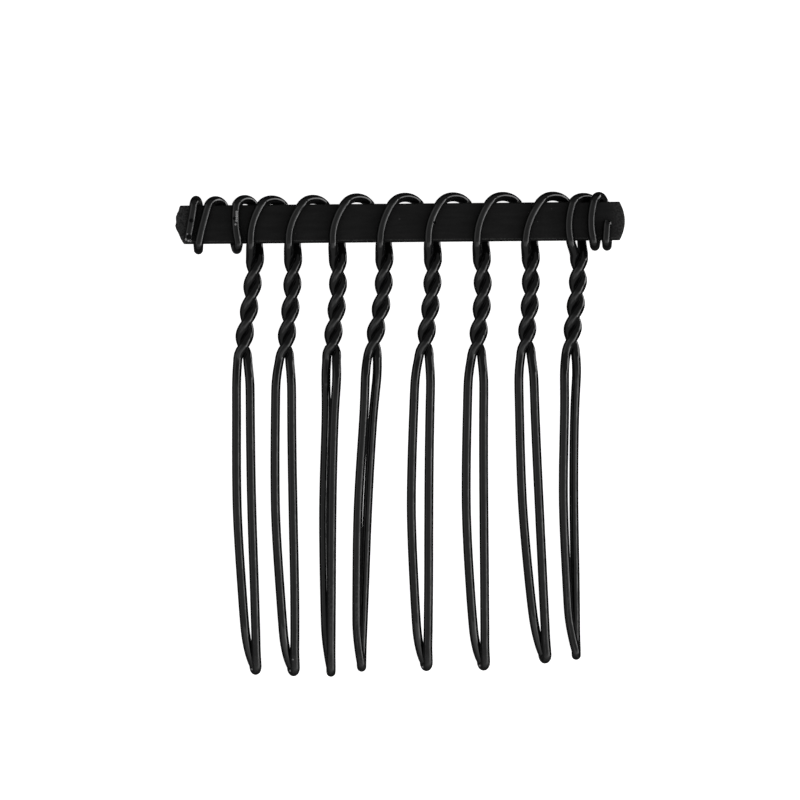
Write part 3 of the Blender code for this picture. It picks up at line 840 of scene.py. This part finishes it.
def matt_black_paint():
    """Matt black paint on rolled strip: a dull, faintly streaked face.

    Along its lower edge runs a painted highlight, a thin broken grey line, and its cut ends are
    speckled lighter.
    """
    material, tree, shader = new_material("matt black paint on rolled strip")
    shader.inputs["IOR"].default_value = PAINT_IOR
    shader.inputs["Metallic"].default_value = 0.0
    shader.inputs["Roughness"].default_value = PAINT_ROUGHNESS
    place = add(tree, "ShaderNodeTexCoord").outputs["Object"]
    at = add(tree, "ShaderNodeSeparateXYZ", {0: place})
    rolled = add(tree, "ShaderNodeMapping", {"Vector": place, "Scale": STREAK_STRETCH})
    streaks = add(tree, "ShaderNodeTexNoise", {"Vector": rolled.outputs[0], "Scale": STREAKS,
                                               "Detail": 4.0})
    streaked = add(tree, "ShaderNodeMapRange",
                   {"Value": streaks.outputs[0], "From Min": 0.3, "From Max": 0.75},
                   interpolation_type="SMOOTHSTEP")
    deep, pale = [linear(colour) for colour in PAINT_COLOURS]
    face = add(tree, "ShaderNodeMix", {0: streaked.outputs[0], 6: deep, 7: pale}, data_type="RGBA")
    grit = add(tree, "ShaderNodeTexNoise", {"Vector": place, "Scale": PAINT_GRAINS, "Detail": 3.0})
    speckled = add(tree, "ShaderNodeMapRange",
                   {"Value": grit.outputs[0], "From Min": 0.38, "From Max": 0.62,
                    "To Min": 0.15, "To Max": 1.0}, interpolation_type="SMOOTHSTEP")
    # Lighter towards both cut ends, speckled by the grit
    left_start, left_full = [BAR_LEFT + share * BAR_WIDTH for share in LEFT_LIGHTER_SHARES]
    left = add(tree, "ShaderNodeMapRange",
               {"Value": at.outputs["X"], "From Min": left_start, "From Max": left_full},
               interpolation_type="SMOOTHSTEP")
    right_start, right_full = [BAR_RIGHT - share * BAR_WIDTH for share in RIGHT_LIGHTER_SHARES]
    right = add(tree, "ShaderNodeMapRange",
                {"Value": at.outputs["X"], "From Min": right_start, "From Max": right_full,
                 "To Min": 0.0, "To Max": RIGHT_LIGHTER}, interpolation_type="SMOOTHSTEP")
    ends = add(tree, "ShaderNodeMath", {0: left.outputs[0], 1: right.outputs[0]},
               operation="MAXIMUM")
    lightened_ends = add(tree, "ShaderNodeMath", {0: ends.outputs[0], 1: speckled.outputs[0]},
                  operation="MULTIPLY")
    ended = add(tree, "ShaderNodeMix", {0: lightened_ends.outputs[0], 6: face.outputs[2],
                                        7: linear(LIGHTER_END_COLOUR)}, data_type="RGBA")
    # Painted highlight: a thin light line where the rounded lower edge catches light, broken by the
    # grit
    line = add(tree, "ShaderNodeMath", {0: at.outputs["Y"], 1: LOWER_EDGE_Y + EDGE_HIGHLIGHT_UP,
                                        2: EDGE_HIGHLIGHT_WIDTH}, operation="COMPARE")
    broken = add(tree, "ShaderNodeMath", {0: line.outputs[0], 1: speckled.outputs[0]},
                 operation="MULTIPLY")
    edge_highlighted = add(tree, "ShaderNodeMix", {0: broken.outputs[0], 6: ended.outputs[2],
                                         7: linear(EDGE_HIGHLIGHT_COLOUR)}, data_type="RGBA")
    specked = add(tree, "ShaderNodeMix", {0: marks(tree, place, BAR_SPECKS), 6: edge_highlighted.outputs[2],
                                          7: linear(BAR_SPECK_COLOUR)}, data_type="RGBA")
    tree.links.new(specked.outputs[2], shader.inputs["Base Color"])
    bump = add(tree, "ShaderNodeBump", {"Height": grit.outputs[0], "Strength": 0.3,
                                        "Distance": PAINT_RELIEF})
    tree.links.new(bump.outputs[0], shader.inputs["Normal"])
    return material


def white_acrylic():
    """Opal white acrylic, lit from below as a light table is, so that no shadow greys it."""
    material, tree, shader = new_material("opal white acrylic lit from below")
    shader.inputs["Base Color"].default_value = linear("#f2f2f2")
    shader.inputs["Roughness"].default_value = TABLE_ROUGHNESS
    shader.inputs["Emission Color"].default_value = linear("#ffffff")
    shader.inputs["Emission Strength"].default_value = TABLE_GLOW
    return material


# Table, light and camera

def make_table(acrylic):
    """A plain white table top that the comb lies on. Its glow isn't mirrored in the enamel."""
    table = bpy.data.meshes.new("table")
    corners = [(x * TABLE_REACH, y * TABLE_REACH, -ENAMEL_THICKNESS)
               for x, y in ((-1, -1), (1, -1), (1, 1), (-1, 1))]
    table.from_pydata(corners, [], [(0, 1, 2, 3)])
    table.materials.append(acrylic)
    top = bpy.data.objects.new("table", table)
    bpy.context.scene.collection.objects.link(top)
    top.visible_glossy = False


def make_softbox(name, direction, distance, width, height, radiance):
    """A soft light that looks at the comb from a direction, with the brightness of its face."""
    light = bpy.data.lights.new(name, "AREA")
    light.shape = "RECTANGLE"
    light.size = width
    light.size_y = height
    light.energy = radiance * math.pi * width * height
    box = bpy.data.objects.new(name, light)
    away = Vector(direction).normalized()
    box.location = away * distance
    box.rotation_euler = away.to_track_quat("Z", "Y").to_euler()
    bpy.context.scene.collection.objects.link(box)


def make_light():
    """A dim room, darker behind the comb and below the table, with softboxes above and at its sides."""
    world = bpy.data.worlds.new("studio")
    world.use_nodes = True
    tree = world.node_tree
    background = tree.nodes["Background"]
    look = add(tree, "ShaderNodeTexCoord")
    up = add(tree, "ShaderNodeSeparateXYZ", {0: look.outputs["Generated"]})
    lowest, highest = HORIZON_HEIGHTS
    horizon = add(tree, "ShaderNodeMapRange",
                  {"Value": up.outputs["Z"], "From Min": lowest, "From Max": highest,
                   "To Min": BELOW_SHARE, "To Max": 1.0}, interpolation_type="SMOOTHSTEP")
    to_dark = add(tree, "ShaderNodeVectorMath", {0: look.outputs["Generated"], 1: DARK_SIDE},
                  operation="DOT_PRODUCT")
    turn_start, turn_end = DARK_SIDE_TURNS
    room = add(tree, "ShaderNodeMapRange",
               {"Value": to_dark.outputs["Value"], "From Min": turn_start, "From Max": turn_end,
                "To Min": ROOM_RADIANCE, "To Max": ROOM_RADIANCE * DARK_SHARE},
               interpolation_type="SMOOTHSTEP")
    seen = add(tree, "ShaderNodeMath", {0: horizon.outputs[0], 1: room.outputs[0]},
               operation="MULTIPLY")
    tree.links.new(seen.outputs[0], background.inputs["Strength"])
    background.inputs["Color"].default_value = linear("#ffffff")
    bpy.context.scene.world = world
    for box in named(SOFTBOX_COLUMNS, SOFTBOXES):
        make_softbox(**box)


def make_camera():
    """Straight above the comb, far enough that it shows almost no perspective."""
    lens = bpy.data.cameras.new("camera")
    lens.lens = LENS_MM
    lens.sensor_width = SENSOR_MM
    lens.clip_start, lens.clip_end = VIEW_DEPTHS
    camera = bpy.data.objects.new("camera", lens)
    camera.location = (*FRAME_MIDDLE, BAR_Z + FRAME_WIDTH * LENS_MM / SENSOR_MM)
    camera.rotation_euler = (0, 0, FRAME_ROLL)
    bpy.context.scene.collection.objects.link(camera)
    bpy.context.scene.camera = camera


wire = make_wire(gloss_black_enamel())
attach(wire, "root")
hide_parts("wire")
bar = make_bar(matt_black_paint())
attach(bar, "root")
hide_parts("bar")
make_table(white_acrylic())
make_light()
make_camera()
bpy.context.scene.view_settings.view_transform = "Standard"
